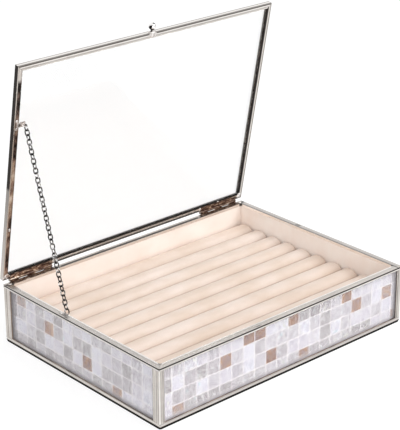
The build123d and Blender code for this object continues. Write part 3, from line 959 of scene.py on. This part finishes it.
roll_velvet = velvet_finish("roll_velvet", *ROLL_SHADES_PAINTED_DARKER, 1300.0, roll_crease_shade)
end_steps = [ROLL_END_ROUND * (1 - cos(pi / 2 * i / ROLL_END_STEPS)) for i in range(ROLL_END_STEPS + 1)]
plain_half = ROLL_HALF_LENGTH - ROLL_END_ROUND
stations = [-ROLL_HALF_LENGTH + reach for reach in end_steps]
stations += [plain_half * (2 * i / ROLL_SPANS - 1) for i in range(1, ROLL_SPANS)]
stations += [ROLL_HALF_LENGTH - reach for reach in reversed(end_steps)]
core = (ROLL_TOP - ROLL_FOOT) / 2
for number in range(ROLL_COUNT):
    middle_y = (number - (ROLL_COUNT - 1) / 2) * ROLL_PITCH
    roll = bmesh.new()
    loops = []
    for x in stations:
        from_end = ROLL_HALF_LENGTH - abs(x)
        near_end = max(ROLL_END_ROUND - from_end, 0.0)
        inset = ROLL_END_ROUND - sqrt(max(ROLL_END_ROUND**2 - near_end**2, 0.0))
        loop = []
        for across, rise in roll_profile():
            out_z = rise - core
            where = Vector((x, across, rise)) * ROLL_WAVE_SCALE + Vector((number * ROLL_WAVE_STEP, 0.0, 0.0))
            swell = noise.noise(where) * ROLL_WAVE
            pleat = sin(across * ROLL_PLEAT_WAVES[0] + rise * ROLL_PLEAT_WAVES[1] + number) * ROLL_PLEATS
            pleat *= max(0.0, 1 - from_end / ROLL_PLEAT_REACH)
            keep = 1 - (inset - swell - pleat) / sqrt(across**2 + out_z**2)
            lift = max(core + out_z * keep, 0.0) if rise > FOOT_LEVEL else 0.0
            loop.append(roll.verts.new((x, middle_y + across * keep, ROLL_FOOT + lift)))
        loops.append(loop)
    skin_over(roll, loops)
    bar = smooth_turns(piece_from(f"velvet_roll_{number + 1:02d}", roll, roll_velvet), 60.0)
    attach(bar, "case")
    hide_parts(f"ring_roll_{number + 1:02d}")


# Hinges: two butt hinges of thin plated brass, their leaves soldered to the rear rail and to the lid, each
# on a steel pin with a head at both ends. The plating has worn brown, and its patches from black brown to
# bright are partly painted reflections. Solder shows at their ends.
HINGE_WEAR_AND_REFLECTION_SHADES = (
    (0.36, linear(58, 44, 40)),
    (0.47, linear(104, 84, 76)),
    (0.55, linear(150, 130, 112)),
    (0.64, linear(226, 214, 202)),
)


def worn_plating_and_reflections(tree, clean):
    """Patches from black brown to bright, drawn out along the hinge: worn plating, and partly painted
    reflections.
    """
    wear = grain(tree, place_of(tree, (0.35, 1.0, 1.0)), 420.0, 4.0, 0.7, 0.6)
    return shades_by(tree, wear, HINGE_WEAR_AND_REFLECTION_SHADES)


hinge_plate = nickel_finish("hinge_plate", (0.05, 1.0, 1.0), rough=(0.2, 0.45), over=worn_plating_and_reflections)
dress(hinge_plate, *(f"hinge_{leaf}_leaf_{hand}" for leaf in ("case", "lid") for hand in ("left", "right")))
pin_steel = nickel_finish("pin_steel", (0.05, 1.0, 1.0), shade=linear(128, 118, 112))
dress(pin_steel, "hinge_pin_left", "hinge_pin_right")


# Lid frame: the same nickel came, smaller, round a clear pane, mitred at its corners. Dark lines along the
# rails are painted shade, most of all beside the glass, bright lines are painted highlights, and the left
# stile has brown and black patches on its inner face.
LID_HINGE = next(joint for joint in frame["joints"] if joint["name"] == "lid_hinge")
HINGE_AXIS = Vector(LID_HINGE["pos_m"])
LID_OPEN = radians(LID_HINGE["range_deg"][1])
LID_FORWARD = Vector((0.0, -cos(LID_OPEN), sin(LID_OPEN)))
LID_INWARD = Vector((0.0, -sin(LID_OPEN), -cos(LID_OPEN)))
LID_START = 0.002
LID_FRONT = 0.221
LID_SHADE_LINES = {
    "front": ((0.0002, 0.0015, 0.75), (0.0028, 0.0038, 0.3)),
    "rear": ((0.0003, 0.0019, 0.9), (0.0040, 0.0060, 0.97)),
    "left": ((0.0036, 0.0060, 0.3),),
    "right": ((-0.0010, 0.0008, 0.35), (0.0030, 0.0060, 0.98)),
}
LID_MITRE_LINE = (-0.0002, 0.0002, 0.7)
LID_EDGE_SHADE_LINES = ((-0.0041, -0.0030, 0.35), (-0.0007, 0.0006, 0.6))
LID_EDGE_HIGHLIGHT = (-0.0028, -0.0008, 0.8)
LID_FACE_HIGHLIGHT = (0.0016, 0.0026, 0.6)
GLASS_EDGE_HIGHLIGHT_BELOW = -0.0007
GLASS_EDGE_HIGHLIGHT_INSIDE = 0.0046
FRONT_EDGE_WITHIN = 0.0001
STILE_EDGE_WITHIN = 0.00005
STILE_EDGE_SHADE_SHARE = 0.97
STILE_EDGE_SHADE_BLACK = (0.092, 0.100)
STILE_EDGE_SHADE_GREY = (0.15, 0.60)
STILE_PATCHES_FROM = 0.0013
STILE_PATCHES_TO = 0.204
STILE_SHADES = (
    (0.38, linear(30, 27, 26)),
    (0.46, linear(92, 78, 73)),
    (0.52, linear(146, 126, 116)),
    (0.58, linear(184, 167, 150)),
    (0.66, linear(236, 230, 222)),
)


def along_way(tree, spot, way):
    """How far a vector goes along a direction."""
    feeds = {0: spot, 1: tuple(way)}
    return step(tree, "ShaderNodeVectorMath", feeds, operation="DOT_PRODUCT").outputs["Value"]


def lid_reach(tree):
    """How far a point lies in from the lid's sides, rear and front, and its run forward and rise inward."""
    spot = vector_of(tree, "SUBTRACT", own_place(tree), tuple(HINGE_AXIS))
    across = sum_of(tree, "ABSOLUTE", step(tree, "ShaderNodeSeparateXYZ", {0: spot}).outputs[0])
    run = along_way(tree, spot, LID_FORWARD)
    rise = along_way(tree, spot, LID_INWARD)
    from_side = sum_of(tree, "SUBTRACT", CASE_LENGTH / 2, across)
    from_rear = sum_of(tree, "SUBTRACT", run, LID_START)
    from_front = sum_of(tree, "SUBTRACT", LID_FRONT, run)
    return from_side, from_rear, from_front, run, rise


def glass_edge_highlight(tree, inside, rise):
    """Painted highlight: one on the narrow inner edge of a rail that stands on the glass."""
    return masked(tree, up_to(tree, rise, GLASS_EDGE_HIGHLIGHT_BELOW - 0.0002), beyond(tree, inside, GLASS_EDGE_HIGHLIGHT_INSIDE))


def lid_dark(side):
    """Dark lines of one lid rail, painted shade apart from the mitre, by how far they lie in from its outer
    edge.
    """

    def lines(tree):
        from_side, from_rear, from_front, run, rise = lid_reach(tree)
        inside = {"front": from_front, "rear": from_rear}.get(side, from_side)
        other = from_side if side in ("front", "rear") else sum_of(tree, "MINIMUM", from_rear, from_front)
        apart = sum_of(tree, "SUBTRACT", inside, other)
        found = [stripe(tree, inside, *line) for line in LID_SHADE_LINES[side]]
        found.append(stripe(tree, apart, *LID_MITRE_LINE))
        # Painted shade on the left stile's outer edge: grey near the hinge, black further forward.
        if side == "left":
            outer = masked(tree, STILE_EDGE_SHADE_SHARE, up_to(tree, inside, STILE_EDGE_WITHIN, 0.0001))
            grey = spread(tree, run, 0.0, STILE_EDGE_SHADE_BLACK[0], *STILE_EDGE_SHADE_GREY)
            black = spread(tree, run, *STILE_EDGE_SHADE_BLACK, 0.0, 1.0)
            found.append(masked(tree, outer, most(tree, grey, black)))
        if side == "front":
            edge = most(tree, *(stripe(tree, rise, *line) for line in LID_EDGE_SHADE_LINES))
            found.append(masked(tree, up_to(tree, inside, FRONT_EDGE_WITHIN), edge))
        dark = most(tree, *found)
        if side in ("rear", "right"):
            dark = masked(tree, dark, sum_of(tree, "SUBTRACT", 1.0, glass_edge_highlight(tree, inside, rise)))
        return dark

    return lines


def lid_highlights(side):
    """Painted highlights of one lid rail: on the front rail's edge and face, and on the inner edges on the
    glass.
    """

    def bright(tree):
        from_side, from_rear, from_front, _, rise = lid_reach(tree)
        if side == "front":
            edge = stripe(tree, rise, *LID_EDGE_HIGHLIGHT)
            edge = masked(tree, up_to(tree, from_front, FRONT_EDGE_WITHIN), edge)
            return most(tree, edge, stripe(tree, from_front, *LID_FACE_HIGHLIGHT))
        return glass_edge_highlight(tree, from_rear if side == "rear" else from_side, rise)

    return bright


def stile_patches(tree, clean):
    """Brown and black patches along the left stile's inner face, behind its bright arris."""
    from_side, _, _, run, _ = lid_reach(tree)
    patch = grain(tree, place_of(tree, (0.6, 0.3, 0.3)), 130.0, 5.0, 0.7)
    patch = shades_by(tree, patch, STILE_SHADES)
    past_arris = beyond(tree, from_side, STILE_PATCHES_FROM - 0.0002, 0.0004)
    where = masked(tree, past_arris, up_to(tree, run, STILE_PATCHES_TO, 0.004))
    return blended(tree, where, clean, patch)


for side in ("front", "rear", "left", "right"):
    along = (0.02, 1.0, 1.0) if side in ("front", "rear") else (1.0, 1.0, 0.02)
    over, pale = (stile_patches, None) if side == "left" else (None, lid_highlights(side))
    rail_nickel = nickel_finish(f"lid_nickel_{side}", along, lid_dark(side), over=over, pale=pale)
    dress(rail_nickel, f"lid_rail_{side}")
dress(pane_finish("lid_pane", (1.0, 1.0, 1.0, 1.0), 0.85), "lid_glass")
lets_lamps_through("lid_glass")


# Knob: a turned and polished ball on a short neck, set in a mound of solder that laps over the middle of
# the lid's front edge. Its bright and dark patches are painted reflections.
KNOB_REFLECTION_SHADES = (
    (0.40, linear(22, 20, 20)),
    (0.47, linear(90, 86, 84)),
    (0.52, linear(235, 233, 231)),
    (0.75, linear(252, 252, 252)),
)


def knob_painted_reflections(tree, clean):
    """Painted reflections of the polished ball: bright chrome with dark patches."""
    where = place_of(tree, (1.0, 1.0, 1.0), (0.0041, 0.0, 0.0))
    return shades_by(tree, grain(tree, where, 230.0, 1.0, 0.4), KNOB_REFLECTION_SHADES)


knob_nickel = nickel_finish("knob_nickel", (1.0, 1.0, 0.2), rough=(0.04, 0.12), over=knob_painted_reflections)
dress(knob_nickel, "lid_knob")


# Solder of the lid and the case: mounds under the knob, at the lid's rear corners, beside the hinges, round
# the chain's eye and at its anchor. A mound is its place across and forward or to the rear, then its length,
# width and height. Places on the lid are forward from the hinge line.
LID_FACE = 0.0005
RIM_HEIGHT = LEFT_RIM[1].z
ACROSS = Vector((1.0, 0.0, 0.0))
KNOB_MOUND = (0.0098, 0.0042, 0.0008)
KNOB_LAP = (0.0100, 0.0046, 0.0005)
KNOB_OUT = 0.0016
KNOB_LAP_BACK = 0.0022
LID_BEADS = (
    (-0.1462, 0.0056, 0.0052, 0.0050, 0.00040),
    (0.1462, 0.0056, 0.0060, 0.0054, 0.00040),
    (0.0925, 0.0046, 0.0030, 0.0036, 0.00045),
    (-0.0925, 0.0046, 0.0030, 0.0036, 0.00045),
    (0.1170, 0.0064, 0.0034, 0.0022, 0.00045),
    (-0.1472, 0.1672, 0.0030, 0.0036, 0.00045),
    (-0.1470, 0.1596, 0.0028, 0.0030, 0.00045),
    (-0.1468, 0.0560, 0.0020, 0.0034, 0.00030),
)
CASE_BEADS = (
    (0.1452, 0.1066, 0.0040, 0.0030, 0.00040),
    (-0.1452, 0.1066, 0.0040, 0.0030, 0.00040),
    (0.0885, 0.1070, 0.0034, 0.0030, 0.00040),
    (-0.0885, 0.1070, 0.0034, 0.0030, 0.00040),
    (-0.1462, 0.0257, 0.0030, 0.0052, 0.00035),
)
BEAD_RINGS = 6
BEAD_POINTS = 22
BEAD_CROWN = 0.3
BEAD_UNEVEN = 0.2
BEAD_SEED_STEP = 7.3
BEAD_RING_STEP = 0.25


def solder_bead(shape, spot, out_way, long_way, size, seed):
    """Add an oval mound of solder to a bmesh, with an uneven rim. size is its length, width and height."""
    long_half, wide_half, tall = size[0] / 2, size[1] / 2, size[2]
    side_way = out_way.cross(long_way)
    loops = []
    for r in range(BEAD_RINGS):
        lean = pi / 2 * (r + BEAD_CROWN) / (BEAD_RINGS - 1 + BEAD_CROWN)
        loop = []
        for i in range(BEAD_POINTS):
            a = 2 * pi * i / BEAD_POINTS
            where = Vector((cos(a) + seed * BEAD_SEED_STEP, sin(a), r * BEAD_RING_STEP))
            reach = sin(lean) * (1 + BEAD_UNEVEN * noise.noise(where))
            point = spot + long_way * (long_half * reach * cos(a)) + side_way * (wide_half * reach * sin(a))
            loop.append(shape.verts.new(point + out_way * (tall * cos(lean))))
        loops.append(loop)
    skin_over(shape, loops)


solder, tree, out = empty_finish("bright_solder")
lump = grain(tree, place_of(tree), 480.0, 3.0, 0.6)
pit = grain(tree, place_of(tree), 1500.0, 2.0)
shade = blended(tree, spread(tree, lump, 0.38, 0.62, 0.0, 1.0), linear(186, 178, 174), linear(250, 246, 243))
skin(
    tree,
    out,
    Base_Color=blended(tree, spread(tree, pit, 0.62, 0.7, 0.0, 0.7), shade, linear(96, 88, 84)),
    Metallic=1.0,
    Roughness=spread(tree, lump, 0.3, 0.7, 0.18, 0.4),
    Normal=raised(tree, lump, 0.0003, 0.5),
)

mounds = bmesh.new()
front_edge = HINGE_AXIS + LID_FORWARD * LID_FRONT
solder_bead(mounds, front_edge - LID_INWARD * KNOB_OUT, LID_FORWARD, ACROSS, KNOB_MOUND, 1)
lap_spot = front_edge - LID_FORWARD * KNOB_LAP_BACK + LID_INWARD * LID_FACE
solder_bead(mounds, lap_spot, LID_INWARD, ACROSS, KNOB_LAP, 2)
for seed, (across, forward, *size) in enumerate(LID_BEADS):
    place = HINGE_AXIS + ACROSS * across + LID_FORWARD * forward + LID_INWARD * LID_FACE
    solder_bead(mounds, place, LID_INWARD, ACROSS, size, seed + 3)
lid_solder = smooth_turns(piece_from("lid_solder", mounds, solder), 60.0)
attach(lid_solder, "lid")

mounds = bmesh.new()
for seed, (across, depth, *size) in enumerate(CASE_BEADS):
    solder_bead(mounds, Vector((across, depth, RIM_HEIGHT)), Vector((0.0, 0.0, 1.0)), ACROSS, size, seed + 20)
case_solder = smooth_turns(piece_from("case_solder", mounds, solder), 60.0)
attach(case_solder, "case")


# Chain stay: oval cable links of bright steel wire from an eye on the lid's left rail to a tab on the left
# top rail of the case. Black and bright patches on the wire are painted reflections.
CHAIN_REFLECTION_SHADES = (
    (0.42, linear(24, 22, 22)),
    (0.52, linear(84, 80, 78)),
    (0.60, linear(150, 147, 145)),
    (0.72, linear(240, 240, 240)),
)


def chain_painted_reflections(tree, clean):
    """Painted reflections: black and bright patches a little larger than the wire."""
    return shades_by(tree, grain(tree, place_of(tree), 330.0, 2.0, 0.5, 0.4), CHAIN_REFLECTION_SHADES)


chain_steel = nickel_finish("chain_steel", (1.0, 1.0, 1.0), rough=(0.08, 0.22), over=chain_painted_reflections)
dress(chain_steel, *(f"chain_links_{group}" for group in ("upper", "turn", "run", "bend", "curl", "end")))
dress(solder, "chain_eye", "chain_anchor")
